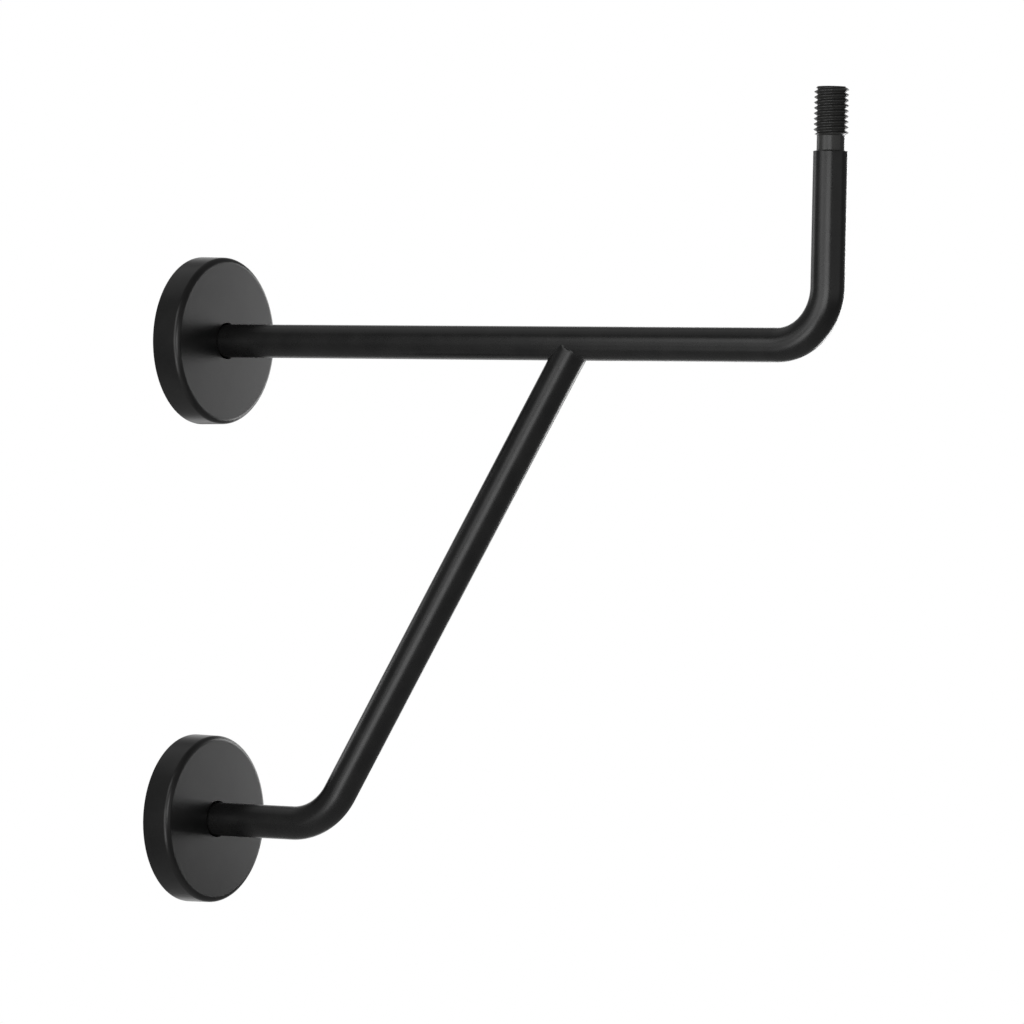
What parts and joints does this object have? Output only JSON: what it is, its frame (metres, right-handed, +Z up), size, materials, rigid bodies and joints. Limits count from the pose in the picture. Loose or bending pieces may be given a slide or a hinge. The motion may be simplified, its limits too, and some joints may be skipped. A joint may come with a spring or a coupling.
{
  "type": "handrail bracket",
  "caption": "Wall bracket for a handrail: a bent round bar with a threaded tip, braced from below by a second bent bar, with round caps over its base plates.",
  "frame": {"origin": "centre of the upper base plate's wall face, on the arm's axis", "axes": "+X away from the wall, along the arm; +Z up, along the threaded end; the axes of both bars lie in the plane Y = 0"},
  "size_m": [0.2869, 0.0642, 0.309],
  "materials": {
    "bar_coat": "satin black coat on a drawn steel bar",
    "cover_coat": "satin black coat over a finely brushed sheet cap",
    "plate_coat": "satin black coat on a machined steel plate",
    "weld_coat": "satin black coat over a dressed weld bead"
  },
  "bodies": {
    "root": {"arm_rod": "bar_coat", "brace_rod": "bar_coat", "upper_base_plate": "plate_coat", "lower_base_plate": "plate_coat", "upper_cover": "cover_coat", "lower_cover": "cover_coat", "upper_plate_weld": "weld_coat", "lower_plate_weld": "weld_coat", "brace_weld": "weld_coat"}
  },
  "joints": []
}
